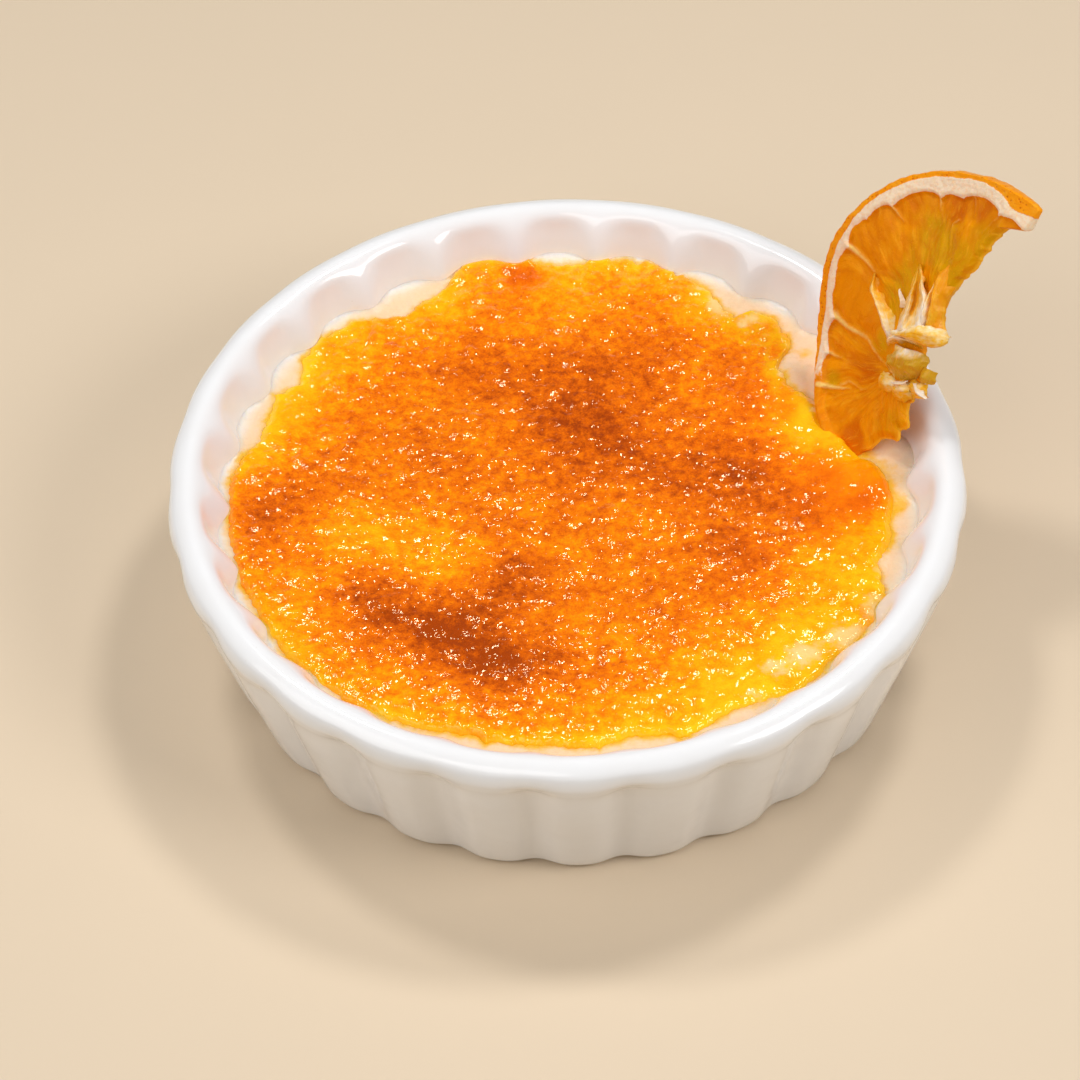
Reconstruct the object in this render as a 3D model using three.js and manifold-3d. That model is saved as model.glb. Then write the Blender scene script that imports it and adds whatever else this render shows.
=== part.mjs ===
import * as THREE from 'three';
import Module from 'manifold-3d';

// Creme brulee in its own fluted porcelain dish, with a dried orange half slice
// standing in it. Millimetres, +Z up, the middle of the dish's foot at the origin,
// and the slice on the +X side.

const wallSteps = 156;              // steps round the dish, six to each flute
const fluteCount = 26;
const fluteStart = 49.5;            // degrees from +X to the middle of one outward flute
const wallGap = 0.35;               // custard to dish

const crustRise = 1.1;              // burnt sugar above the bare custard
const crustSlope = 0.9;             // width of its edge
const domeRise = 0.35;              // the middle of the crust above its rim

const sliceCentre = [59.1, 12.4, 45.8];
const sliceFacing = 33.7;           // degrees from +X to the way it leans
const sliceLean = 30.9;             // degrees from upright
const rindThickness = 3.6;
const fleshThickness = 2.0;
const coreThickness = 4.6;
const coreSpot = [-2, 5.5];         // the fruit's middle, up and across from the slice's centre
const coreReach = 6;
const sliceGap = 0.35;              // custard to slice

const moundSpot = [50.5, 8.5];      // where the slice pushed the custard up
const moundRise = 2.4;
const moundReach = 5.5;

// The dish from the middle of its foot, up the outside, over the lip and down to
// the middle of its floor: radius, height, and how deep the flutes are there.
const dishProfile = [
  [51.6, 0, 0.35],
  [53.4, 0.5, 0.5],
  [54.5, 2.2, 0.7],
  [57.2, 11.5, 0.9],
  [59.6, 20.0, 0.95],
  [61.0, 25.2, 0.85],
  [61.9, 27.4, 0.55],
  [62.4, 29.2, 0.25],
  [61.8, 31.1, 0.05],
  [59.6, 32.2, 0],
  [57.6, 31.4, 0.15],
  [56.1, 29.0, 0.7],
  [54.2, 24.5, 1.0],
  [51.9, 16.5, 0.9],
  [49.6, 8.6, 0.6],
  [48.3, 6.2, 0.4],
  [46.0, 4.7, 0.2],
  [43.6, 4.3, 0],
];

// The custard from the middle of its underside to its bare rim.
const custardProfile = [
  [43.4, 4.65, 0],
  [45.7, 5.05, 0.2],
  [47.9, 6.5, 0.4],
  [49.2, 8.75, 0.6],
  [51.9, 16.5, 0.9],
  [54.2, 24.5, 1.0],
];

// How far the crust reaches from the middle, every twenty degrees from +X.
const crustReach = [
  50.6, 44.2, 47.2, 49.6, 53.2, 53.0, 49.8, 52.6, 50.8,
  53.2, 53.4, 53.2, 52.2, 51.6, 51.0, 52.4, 53.2, 51.8,
];

// The slice's outline from its upper tip down the rind to the sunk end and back up
// the cut side: degrees from straight up, and distance from the slice's centre.
const sliceOutline = [
  [-7, 27.8], [3, 27.2], [14, 26.7], [26, 26.5], [38, 26.6], [50, 27.0], [62, 27.2],
  [74, 27.4], [86, 27.6], [97, 27.2], [108, 26.7], [119, 26.4], [130, 26.6], [141, 27.0],
  [151, 27.5], [159, 27.6], [166, 27.5], [172, 26.3], [176, 24.0], [179, 21.5],
  [184, 19.0], [183, 16.5], [187, 15.0], [181, 13.2], [184, 10.6], [192, 9.8],
  [196, 7.6], [200, 5.4], [250, 2.2], [330, 2.6], [380, 4.0], [385, 6.4], [378, 8.0],
  [367, 11.2], [362, 14.8], [359, 19.0], [356, 21.6], [351, 24.2], [351, 26.4],
];
const slicePlug = [1, 12];          // a point well inside the flesh, up and across

const degrees = Math.PI / 180;

// Flute depth at an angle: broad outward lobes with narrower valleys between.
function flute(angle) {
  const phase = fluteCount * (angle - fluteStart * degrees);
  return Math.cos(phase) - 0.2 * Math.cos(2 * phase);
}

// Points of one level ring of the dish or the custard.
function wallRing([radius, height, depth], inset) {
  const ring = [];
  for (let i = 0; i < wallSteps; i++) {
    const angle = (i / wallSteps) * 2 * Math.PI;
    const reach = radius - inset + depth * flute(angle);
    ring.push([reach * Math.cos(angle), reach * Math.sin(angle), height]);
  }
  return ring;
}

// A closed skin through rings of equal length, with a point closing each end.
function skinRings(first, rings, last) {
  const points = [first, ...rings.flat(), last];
  const count = rings[0].length;
  const faces = [];
  for (let i = 0; i < count; i++) {
    const next = (i + 1) % count;
    faces.push([0, 1 + next, 1 + i]);
    for (let r = 0; r < rings.length - 1; r++) {
      const low = 1 + r * count;
      const high = low + count;
      faces.push([low + i, low + next, high + next]);
      faces.push([low + i, high + next, high + i]);
    }
    const top = 1 + (rings.length - 1) * count;
    faces.push([top + i, top + next, points.length - 1]);
  }
  const geometry = new THREE.BufferGeometry();
  geometry.setAttribute('position', new THREE.Float32BufferAttribute(points.flat(), 3));
  geometry.setIndex(faces.flat());
  return geometry;
}

function dishGeometry() {
  const rings = dishProfile.map((line) => wallRing(line, 0));
  const floorHeight = dishProfile[dishProfile.length - 1][1];
  return skinRings([0, 0, 0], rings, [0, 0, floorHeight]);
}

// The crust's reach between the listed angles, never past the custard's own rim.
function crustEdge(angle, rim) {
  const place = (angle / (2 * Math.PI)) * crustReach.length;
  const before = Math.floor(place) % crustReach.length;
  const after = (before + 1) % crustReach.length;
  const blend = place - Math.floor(place);
  const reach = crustReach[before] * (1 - blend) + crustReach[after] * blend;
  return Math.min(reach, rim - 0.5);
}

function moundHeight(x, y) {
  const away = Math.hypot(x - moundSpot[0], y - moundSpot[1]) / moundReach;
  return away < 1 ? moundRise * (0.5 + 0.5 * Math.cos(Math.PI * away)) : 0;
}

function custardGeometry() {
  const rings = custardProfile.map((line) => wallRing(line, wallGap));
  const rim = rings[rings.length - 1];
  const bare = custardProfile[custardProfile.length - 1][1];
  const levels = [
    [1, 0, 0],
    [1, -crustSlope, crustRise],
    [0.86, 0, crustRise],
    [0.5, 0, crustRise + 0.2],
  ];
  for (const [share, step, rise] of levels) {
    rings.push(rim.map(([x, y]) => {
      const angle = (Math.atan2(y, x) + 2 * Math.PI) % (2 * Math.PI);
      const reach = share * crustEdge(angle, Math.hypot(x, y)) + step;
      const px = reach * Math.cos(angle);
      const py = reach * Math.sin(angle);
      return [px, py, bare + rise + moundHeight(px, py)];
    }));
  }
  return skinRings([0, 0, custardProfile[0][1]], rings, [0, 0, bare + crustRise + domeRise]);
}

// Half the slice's thickness at a spot: thick rind, thin dried flesh, a lump at the core.
function halfThickness(up, across, share) {
  const rindBlend = THREE.MathUtils.smoothstep(share, 0.8, 0.92);
  const away = Math.hypot(up - coreSpot[0], across - coreSpot[1]) / coreReach;
  const coreBlend = away < 1 ? 1 - away * away : 0;
  const flesh = fleshThickness + (coreThickness - fleshThickness) * coreBlend;
  const cutSide = THREE.MathUtils.smoothstep(across, 2, 7);
  return 0.5 * (flesh + (rindThickness - flesh) * rindBlend * cutSide);
}

// The slice as a flat solid with its front and its back skinned in rings, optionally
// grown all over to make its slot in the custard.
function sliceGeometry(grow) {
  const rim = sliceOutline.map(([angle, distance]) => {
    const a = angle * degrees;
    return [distance * Math.cos(a), distance * Math.sin(a)];
  });
  const spot = (index, share, side) => {
    const up = slicePlug[0] + (rim[index][0] - slicePlug[0]) * share;
    const across = slicePlug[1] + (rim[index][1] - slicePlug[1]) * share;
    const stretch = Math.hypot(up - slicePlug[0], across - slicePlug[1]);
    const push = stretch > 0 ? 1 + (grow * share) / stretch : 1;
    const deep = side * (halfThickness(up, across, share) * (share === 1 ? 0.75 : 1) + grow);
    return [
      slicePlug[0] + (up - slicePlug[0]) * push,
      slicePlug[1] + (across - slicePlug[1]) * push,
      deep,
    ];
  };
  const rings = [];
  for (const share of [0.35, 0.6, 0.78, 0.9, 0.97, 1]) {
    rings.push(rim.map((_, index) => spot(index, share, -1)));
  }
  for (const share of [1, 0.97, 0.9, 0.78, 0.6, 0.35]) {
    rings.push(rim.map((_, index) => spot(index, share, 1)));
  }
  const middle = 0.5 * fleshThickness + grow;
  return skinRings([...slicePlug, -middle], rings, [...slicePlug, middle]);
}

// Stands the slice in the dish: its own up, across and through axes to the dish's.
function slicePlacement() {
  const facing = sliceFacing * degrees;
  const lean = sliceLean * degrees;
  const outward = new THREE.Vector3(Math.cos(facing), Math.sin(facing), 0);
  const across = new THREE.Vector3(-Math.sin(facing), Math.cos(facing), 0);
  const up = outward.clone().multiplyScalar(Math.sin(lean));
  up.z = Math.cos(lean);
  const through = new THREE.Vector3().crossVectors(up, across);
  return new THREE.Matrix4().makeBasis(up, across, through).setPosition(...sliceCentre);
}

const wasm = await Module();
wasm.setup();

function toManifold(geometry) {
  const mesh = new wasm.Mesh({
    numProp: 3,
    vertProperties: new Float32Array(geometry.attributes.position.array),
    triVerts: new Uint32Array(geometry.index.array),
  });
  return new wasm.Manifold(mesh);
}

function fromManifold(solid) {
  const mesh = solid.getMesh();
  const geometry = new THREE.BufferGeometry();
  geometry.setAttribute('position', new THREE.BufferAttribute(mesh.vertProperties, 3));
  geometry.setIndex(new THREE.BufferAttribute(mesh.triVerts, 1));
  return geometry;
}

// The custard is set round the sunk end of the slice.
function cutCustard() {
  const slot = sliceGeometry(sliceGap).applyMatrix4(slicePlacement());
  return fromManifold(toManifold(custardGeometry()).subtract(toManifold(slot)));
}

const porcelain = new THREE.MeshStandardMaterial({ color: 0xf2f0ee, roughness: 0.16, metalness: 0 });
const burntSugar = new THREE.MeshStandardMaterial({ color: 0xf29a10, roughness: 0.3, metalness: 0 });
const driedOrange = new THREE.MeshStandardMaterial({ color: 0xe08a12, roughness: 0.5, metalness: 0 });

function part(name, geometry, material) {
  const mesh = new THREE.Mesh(geometry, material);
  mesh.name = name;
  return mesh;
}

const cremeBrulee = new THREE.Group();
const slice = part('orange_slice', sliceGeometry(0), driedOrange);
slice.applyMatrix4(slicePlacement());
cremeBrulee.add(
  part('dish', dishGeometry(), porcelain),
  part('custard', cutCustard(), burntSugar),
  slice,
);

export default cremeBrulee;
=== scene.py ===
import math

import bpy
import numpy as np
from mathutils import Matrix, Vector


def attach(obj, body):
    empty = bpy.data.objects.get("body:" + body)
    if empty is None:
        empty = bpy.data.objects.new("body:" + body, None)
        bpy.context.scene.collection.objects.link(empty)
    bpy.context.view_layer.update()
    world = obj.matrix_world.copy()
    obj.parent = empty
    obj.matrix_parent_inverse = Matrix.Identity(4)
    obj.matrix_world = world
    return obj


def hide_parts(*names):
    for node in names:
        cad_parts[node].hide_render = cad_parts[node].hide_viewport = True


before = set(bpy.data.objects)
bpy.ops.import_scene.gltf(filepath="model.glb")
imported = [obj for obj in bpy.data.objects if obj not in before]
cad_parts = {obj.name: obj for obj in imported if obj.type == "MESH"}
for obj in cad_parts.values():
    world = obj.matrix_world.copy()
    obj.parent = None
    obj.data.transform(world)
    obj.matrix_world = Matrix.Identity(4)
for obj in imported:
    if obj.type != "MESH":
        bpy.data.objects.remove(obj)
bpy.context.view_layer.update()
mm = 0.001


def fadeIn(value, low, high):
    t = np.clip((value - low) / (high - low), 0.0, 1.0)
    return t * t * (3.0 - 2.0 * t)


def patchyNoise(x, y, size, seed):
    # smooth random hills between -1 and 1, each about as wide as the size
    table = np.random.default_rng(seed).random((64, 64)) * 2.0 - 1.0
    gx, gy = x / size, y / size
    ix, iy = np.floor(gx).astype(int), np.floor(gy).astype(int)
    fx, fy = gx - ix, gy - iy
    fx, fy = fx * fx * (3.0 - 2.0 * fx), fy * fy * (3.0 - 2.0 * fy)
    low = table[iy % 64, ix % 64] * (1 - fx) + table[iy % 64, (ix + 1) % 64] * fx
    high = table[(iy + 1) % 64, ix % 64] * (1 - fx) + table[(iy + 1) % 64, (ix + 1) % 64] * fx
    return low * (1 - fy) + high * fy


def layeredNoise(x, y, size, seed, layers=3):
    total, strength, full = 0.0, 1.0, 0.0
    for layer in range(layers):
        turn = 0.6 + 1.1 * layer  # each layer is turned so that no grid shows
        rx = x * math.cos(turn) - y * math.sin(turn)
        ry = x * math.sin(turn) + y * math.cos(turn)
        total = total + strength * patchyNoise(rx, ry, size / 2 ** layer, seed + layer)
        full += strength
        strength *= 0.5
    return total / full


def mixedNoise(x, y, kinds):
    # each kind is a strength, a size, a seed and how many layers
    return sum(strength * layeredNoise(x, y, *kind) for strength, *kind in kinds)


def beads(x, y, spacing, smallest, largest, share, seed):
    # round bumps from 0 to 1, one in some of the cells of a jittered grid
    table = np.random.default_rng(seed).random((4, 128, 128))
    ix, iy = np.floor(x / spacing).astype(int), np.floor(y / spacing).astype(int)
    tallest = np.zeros_like(x)
    for stepX in (-1, 0, 1):
        for stepY in (-1, 0, 1):
            cx, cy = ix + stepX, iy + stepY
            cell = table[:, cy % 128, cx % 128]
            px, py = (cx + cell[0]) * spacing, (cy + cell[1]) * spacing
            reach = smallest + (largest - smallest) * cell[2] ** 2
            height = 1.0 - ((x - px) ** 2 + (y - py) ** 2) / reach ** 2
            height = np.where((cell[3] < share) & (height > 0), height * reach / largest, 0.0)
            tallest = np.maximum(tallest, height)
    return tallest


def curveThrough(points, steps, closed=False):
    # a smooth line through given points
    p = np.array(points, float)
    if not closed:
        p = np.vstack([2 * p[0] - p[1], p, 2 * p[-1] - p[-2]])
    spans = range(len(p)) if closed else range(1, len(p) - 2)
    out = []
    for i in spans:
        a, b, c, d = p[i - 1], p[i], p[(i + 1) % len(p)], p[(i + 2) % len(p)]
        for t in np.arange(steps) / steps:
            out.append(0.5 * (2 * b + (c - a) * t + (2 * a - 5 * b + 4 * c - d) * t ** 2
                              + (3 * b - a - 3 * c + d) * t ** 3))
    if not closed:
        out.append(p[-2])
    return np.array(out)


def evenly(line, count):
    # the same line with its points spread evenly along it
    steps = np.append(0, np.cumsum(np.linalg.norm(np.diff(line, axis=0), axis=1)))
    at = np.linspace(0, steps[-1], count)
    return np.stack([np.interp(at, steps, line[:, k]) for k in range(line.shape[1])], -1)


def lineDistance(u, v, line):
    # distance to a bent line, and how far along it from 0 to 1
    best, along = np.full_like(u, 99.0), np.zeros_like(u)
    pieces = len(line) - 1
    for i in range(pieces):
        (au, av), (bu, bv) = line[i], line[i + 1]
        du, dv = bu - au, bv - av
        t = np.clip(((u - au) * du + (v - av) * dv) / (du * du + dv * dv), 0, 1)
        away = np.hypot(u - au - t * du, v - av - t * dv)
        along = np.where(away < best, (i + t) / pieces, along)
        best = np.minimum(best, away)
    return best, along


def softSpots(x, y, spots):
    # each spot is x, y, width and strength
    total = np.zeros_like(x)
    for px, py, width, strength in spots:
        total += strength * np.exp(-((x - px) ** 2 + (y - py) ** 2) / width ** 2)
    return total


def makePiece(name, points, faces, material):
    mesh = bpy.data.meshes.new(name)
    mesh.from_pydata((np.asarray(points) * mm).tolist(), [], faces)
    mesh.update()
    mesh.shade_smooth()
    piece = bpy.data.objects.new(name, mesh)
    bpy.context.scene.collection.objects.link(piece)
    mesh.materials.append(material)
    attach(piece, "root")
    return piece


def paint(piece, name, values):
    # one value for each point, or three
    values = np.asarray(values, np.float32)
    kind, field = ("FLOAT", "value") if values.ndim == 1 else ("FLOAT_VECTOR", "vector")
    piece.data.attributes.new(name, kind, "POINT").data.foreach_set(field, values.ravel())


def fullTurn(steps):
    return np.arange(steps) / steps * 2 * math.pi


def ringAt(angle, reach, height):
    return np.stack([reach * np.cos(angle), reach * np.sin(angle), height + 0 * angle], -1)


def bandFaces(ringCount, perRing):
    faces = []
    for low in range(0, (ringCount - 1) * perRing, perRing):
        for i in range(perRing):
            j = (i + 1) % perRing
            faces.append((low + i, low + j, low + perRing + j, low + perRing + i))
    return faces


def ringFaces(ringCount, perRing, first, last):
    # quads between rings, and a fan to one point at each end
    faces = bandFaces(ringCount, perRing)
    top = (ringCount - 1) * perRing
    for i in range(perRing):
        j = (i + 1) % perRing
        faces.append((first, j, i))
        faces.append((top + i, top + j, last))
    return faces


def gridFaces(rows, columns):
    # quads over a grid of points, and the points round its edge
    index = np.arange(rows * columns).reshape(rows, columns)
    quads = np.stack([index[:-1, :-1], index[1:, :-1], index[1:, 1:], index[:-1, 1:]], -1).reshape(-1, 4)
    return quads, np.concatenate([index[:-1, 0], index[-1, :-1], index[:0:-1, -1], index[0, :0:-1]])


def newMaterial(name):
    # the functions after this one add nodes to the newest material
    global nodeTree
    material = bpy.data.materials.new(name)
    material.use_nodes = True
    nodeTree = material.node_tree
    return material, nodeTree.nodes["Principled BSDF"]


def addNode(kind, inputs=None, **settings):
    made = nodeTree.nodes.new(kind)
    for key, value in settings.items():
        setattr(made, key, value)
    for key, value in (inputs or {}).items():
        made.inputs[key].default_value = value
    return made


def wire(source, target):
    nodeTree.links.new(source, target)


def plug(value, target):
    # sets a number or a colour and wires anything else
    if isinstance(value, tuple):
        target.default_value = (*value, 1.0)
    elif isinstance(value, (int, float)):
        target.default_value = value
    else:
        wire(value, target)


def painted(name, kind="Fac"):
    return addNode("ShaderNodeAttribute", attribute_name=name).outputs[kind]


def spread(texture, size, stretch, vector):
    # lays a texture over the piece with features about size millimetres across
    mapping = addNode("ShaderNodeMapping")
    unit = 1.0 / (size * (mm if vector is None else 1.0))
    mapping.inputs["Scale"].default_value = [unit * s for s in stretch]
    if vector is None:
        vector = addNode("ShaderNodeTexCoord").outputs["Object"]
    wire(vector, mapping.inputs["Vector"])
    wire(mapping.outputs["Vector"], texture.inputs["Vector"])


def grain(size, detail=3.0, roughness=0.55, stretch=(1.0, 1.0, 1.0), vector=None):
    noise = addNode("ShaderNodeTexNoise", {"Scale": 1.0, "Detail": detail, "Roughness": roughness})
    spread(noise, size, stretch, vector)
    return noise.outputs["Fac"]


def cells(size, stretch=(1.0, 1.0, 1.0), vector=None):
    voronoi = addNode("ShaderNodeTexVoronoi", {"Scale": 1.0})
    spread(voronoi, size, stretch, vector)
    return voronoi.outputs["Distance"]


def maths(kind, a, b):
    made = addNode("ShaderNodeMath", operation=kind)
    plug(a, made.inputs[0])
    plug(b, made.inputs[1])
    return made.outputs[0]


def plus(a, b):
    return maths("ADD", a, b)


def times(a, b):
    return maths("MULTIPLY", a, b)


def around(noise, swing):
    # noise turned into a push up or down of at most about half the swing
    return times(maths("SUBTRACT", noise, 0.5), swing)


def frayed(name, noise, swing):
    # a painted value pushed up and down by noise
    return plus(painted(name), around(noise, swing))


def rescale(value, low, high, toLow=0.0, toHigh=1.0):
    limits = {"From Min": low, "From Max": high, "To Min": toLow, "To Max": toHigh}
    made = addNode("ShaderNodeMapRange", limits, interpolation_type="SMOOTHSTEP")
    wire(value, made.inputs["Value"])
    return made.outputs["Result"]


def colourRamp(value, stops):
    made = addNode("ShaderNodeValToRGB")
    ramp = made.color_ramp
    while len(ramp.elements) < len(stops):
        ramp.elements.new(0.5)
    for element, (place, colour) in zip(ramp.elements, stops):
        element.position = place
        element.color = (*colour, 1.0)
    wire(value, made.inputs["Fac"])
    return made.outputs["Color"]


def blendColour(amount, under, over):
    made = addNode("ShaderNodeMix", data_type="RGBA")
    plug(amount, made.inputs["Factor"])
    plug(under, made.inputs[6])
    plug(over, made.inputs[7])
    return made.outputs[2]


def bumpFrom(height, depth, under=None):
    made = addNode("ShaderNodeBump", {"Strength": 1.0, "Distance": depth * mm})
    wire(height, made.inputs["Height"])
    if under is not None:
        wire(under, made.inputs["Normal"])
    return made.outputs["Normal"]


def connect(shader, colour, roughness, relief):
    wire(colour, shader.inputs["Base Color"])
    wire(roughness, shader.inputs["Roughness"])
    wire(relief, shader.inputs["Normal"])


def shine(shader, level, tint=(1.0, 1.0, 1.0)):
    shader.inputs["Specular IOR Level"].default_value = level
    shader.inputs["Specular Tint"].default_value = (*tint, 1.0)


def letLightIn(shader, weight, reach, tint):
    shader.inputs["Subsurface Weight"].default_value = weight
    shader.inputs["Subsurface Radius"].default_value = tint
    shader.inputs["Subsurface Scale"].default_value = reach * mm


view = {
    "distance": 699.2,  # mm from the middle of the lip
    "lookHeight": 29.4,
    "elevation": 47.06,  # degrees
    "pan": 0.35,
    "tilt": -0.78,
    "roll": 1.12,
    "lens": 148.6,
}


def setCamera():
    rise = math.radians(view["elevation"])
    place = Vector((0, -math.cos(rise), math.sin(rise))) * view["distance"]
    forward = -place.normalized()
    right = Vector((1, 0, 0))
    up = right.cross(forward)
    for axis in ("pan", "tilt", "roll"):
        about = {"pan": up, "tilt": right, "roll": forward}[axis]
        turn = Matrix.Rotation(math.radians(view[axis]), 3, about)
        forward, right, up = turn @ forward, turn @ right, turn @ up
    place.z += view["lookHeight"]
    camera = bpy.data.objects.new("viewCamera", bpy.data.cameras.new("viewCamera"))
    turned = Matrix((right, up, -forward)).transposed().to_4x4()
    camera.matrix_world = Matrix.Translation(place * mm) @ turned
    camera.data.lens = view["lens"]
    camera.data.sensor_width = 36
    camera.data.clip_end = 20
    bpy.context.scene.collection.objects.link(camera)
    bpy.context.scene.camera = camera


setCamera()
print("camera set")


dish = {
    "flutes": 26,
    "fluteStart": 49.5,  # degrees from +X to the middle of one outward flute
    "stepsPerFlute": 20,
    "unevenWall": (0.06, 0.04),  # mm, as three and as five waves round the dish
    "unevenLip": 0.05,
    "glaze": (0.925, 0.93, 0.945),
    "glazePooled": (0.905, 0.90, 0.905),
    "pinhole": (0.55, 0.47, 0.38),
    "bareFoot": (0.72, 0.66, 0.58),
    "footGrain": (0.58, 0.52, 0.45),
    "filmAndBounce": (0.96, 0.83, 0.72),  # thin custard left on the wall above the filling, and painted warm bounce light from the filling
    "filmStart": 24.5,  # height it fades out from
    "filmLowest": 20,
    "filmWithin": 57.5,  # radius it stays inside
    "sliceSide": 0.1,  # where round the dish the slice stands, and how wide its side is
    "sliceSpread": 0.6,
    "profile": [  # radius, height, flute depth, from the foot over the lip to the floor
        (51.6, 0, 0.35), (53.4, 0.5, 0.5), (54.5, 2.2, 0.7), (57.2, 11.5, 0.9), (59.6, 20.0, 0.95),
        (61.0, 25.2, 0.85), (61.9, 27.4, 0.55), (62.4, 29.2, 0.25), (61.8, 31.1, 0.05), (59.6, 32.2, 0),
        (57.6, 31.4, 0.15), (56.1, 29.0, 0.7), (54.2, 24.5, 1.0), (51.9, 16.5, 0.9), (49.6, 8.6, 0.6),
        (48.3, 6.2, 0.4), (46.0, 4.7, 0.2), (43.6, 4.3, 0),
    ],
}


def fluteWave(angle):
    phase = dish["flutes"] * (angle - math.radians(dish["fluteStart"]))
    return np.cos(phase) - 0.2 * np.cos(2 * phase)


def innerWall(angle, height):
    # how far the dish's inside reaches at an angle and a height between floor and lip
    inside = np.array(dish["profile"][11:15])[::-1]
    radius = np.interp(height, inside[:, 1], inside[:, 0])
    depth = np.interp(height, inside[:, 1], inside[:, 2])
    return radius + depth * fluteWave(angle)


def towardSlice(x, y):
    # 1 on the slice's side of the dish, and falling to 0 away from it
    return np.exp(-(np.arctan2(y - dish["sliceSide"] * x, x) / dish["sliceSpread"]) ** 2)


def glazedPorcelain():
    material, shader = newMaterial("glazedPorcelain")
    pooled = rescale(grain(9.0, detail=2.0), 0.35, 0.7, 0.0, 0.5)
    colour = blendColour(pooled, dish["glaze"], dish["glazePooled"])
    pinholes = rescale(cells(2.3), 0.0, 0.07, 1.0, 0.0)
    rare = rescale(grain(5.0, detail=1.0), 0.58, 0.64)
    colour = blendColour(times(times(pinholes, rare), 0.3), colour, dish["pinhole"])
    # the film colour is thin custard on the wall and also painted warm bounce light from the filling
    filmAndBounce = frayed("custardFilmAndBounce", grain(2.0), 0.5)
    colour = blendColour(rescale(filmAndBounce, 0.15, 0.9), colour, dish["filmAndBounce"])
    foot, footGrain = painted("bareFoot"), grain(0.5)
    bisque = blendColour(rescale(footGrain, 0.3, 0.7), dish["bareFoot"], dish["footGrain"])
    roughness = rescale(grain(3.0), 0.3, 0.75, 0.08, 0.15)
    ripple = bumpFrom(grain(4.5, detail=1.0), 0.05)
    relief = bumpFrom(times(foot, footGrain), 0.06, ripple)
    connect(shader, blendColour(foot, colour, bisque), plus(roughness, times(foot, 0.6)), relief)
    return material


def makeDish():
    line = curveThrough(dish["profile"], 5)
    steps = dish["flutes"] * dish["stepsPerFlute"]
    angle = fullTurn(steps)
    wave = fluteWave(angle)
    broad, narrow = dish["unevenWall"]
    rings = []
    for radius, height, depth in line:
        uneven = broad * np.sin(3 * angle + 1.0) + narrow * np.sin(5 * angle + height * 0.05)
        reach = radius + depth * wave + uneven * min(height / 20, 1)
        lift = dish["unevenLip"] * np.sin(2 * angle + 0.7) * fadeIn(height, 26, 32)
        rings.append(ringAt(angle, reach, height + lift))
    points = np.vstack(rings + [[[0, 0, 0]], [[0, 0, line[-1][1]]]])
    faces = ringFaces(len(rings), steps, len(points) - 2, len(points) - 1)
    piece = makePiece("flutedDish", points, faces, glazedPorcelain())
    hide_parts("dish")
    paint(piece, "bareFoot", fadeIn(0.35 - points[:, 2], 0, 0.2))
    x, y, z = points.T
    # thin custard film and painted warm bounce light, strongest on the slice's side
    above = z - dish["filmStart"] + 0.5 * layeredNoise(np.arctan2(y, x) * 54, z, 5.0, 131, 2)
    sliceSide = towardSlice(x, y)
    filmAndBounce = (0.45 + 0.55 * sliceSide) * (1 - fadeIn(above, 0.4, 2.0 + 0.8 * sliceSide))
    paint(piece, "custardFilmAndBounce", filmAndBounce * (np.hypot(x, y) < dish["filmWithin"]) * (z > dish["filmLowest"]))


makeDish()
print("dish made")


custard = {
    "steps": 520,  # points round the dish
    "level": 24.5,  # height of the bare custard
    "meniscus": 0.85,  # climb at the wall, and its width
    "meniscusWidth": 1.5,
    "ringStep": 0.33,
    "wallOverlap": 0.3,  # how far its rim goes into the dish, so that no gap shows
    "underside": [(20.0, 4.4), (43.0, 4.4), (46.0, 5.0), (48.6, 7.2)],  # radius and height
    "wallHeights": (12.0, 18.0, 22.5),
    "lumps": [(0.2, 6.0, 40), (0.05, 1.6, 44, 2)],  # strength, size, seed and layers of its unevenness
    "mounds": [  # x, y, width and height
        (51.3, 8.3, 4.4, 1.4), (54.5, 0.5, 4.0, 0.6), (38.4, 26.8, 3.6, 0.9), (51.2, -13.5, 3.5, 0.4),
    ],
    "syrupAndLight": [  # x, y, width and strength of the spots of burnt syrup; the broad spot by the slice's foot is painted warm light against the slice's shadow
        (47.8, 9.4, 1.6, 0.9), (50.6, 11.0, 1.3, 0.6), (52.4, -2.8, 1.7, 0.9), (52.5, 3.5, 4, 0.3),
        (39.2, 31, 1.8, 0.7),
    ],
    "syrupReach": 0.9,  # mm out from the crust
    "paleBetween": (52.4, 55.2),  # radii between which it turns pale towards the wall
    "cream": (1.0, 0.675, 0.44),
    "mottle": (1.0, 0.63, 0.38),
    "wall": (0.97, 0.86, 0.77),
    "stainAndLight": (1.0, 0.50, 0.03),
}


def bakedCustard():
    material, shader = newMaterial("bakedCustard")
    colour = blendColour(rescale(grain(2.6), 0.35, 0.7, 0.0, 0.5), custard["cream"], custard["mottle"])
    colour = blendColour(painted("nearWall"), colour, custard["wall"])
    # syrup stains, and a broad spot of painted warm light by the slice's foot
    syrupAndLight = frayed("syrupAndLight", grain(1.3), 0.7)
    colour = blendColour(rescale(syrupAndLight, 0.15, 0.95), colour, custard["stainAndLight"])
    roughness = rescale(grain(1.0), 0.3, 0.7, 0.22, 0.38)
    skin = bumpFrom(grain(0.9, detail=3.0), 0.05)
    pores = rescale(cells(0.7), 0.0, 0.22)
    connect(shader, colour, roughness, bumpFrom(pores, 0.015, skin))
    shine(shader, 0.3)
    letLightIn(shader, 0.5, 2.5, (1.0, 0.7, 0.4))
    return material


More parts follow.
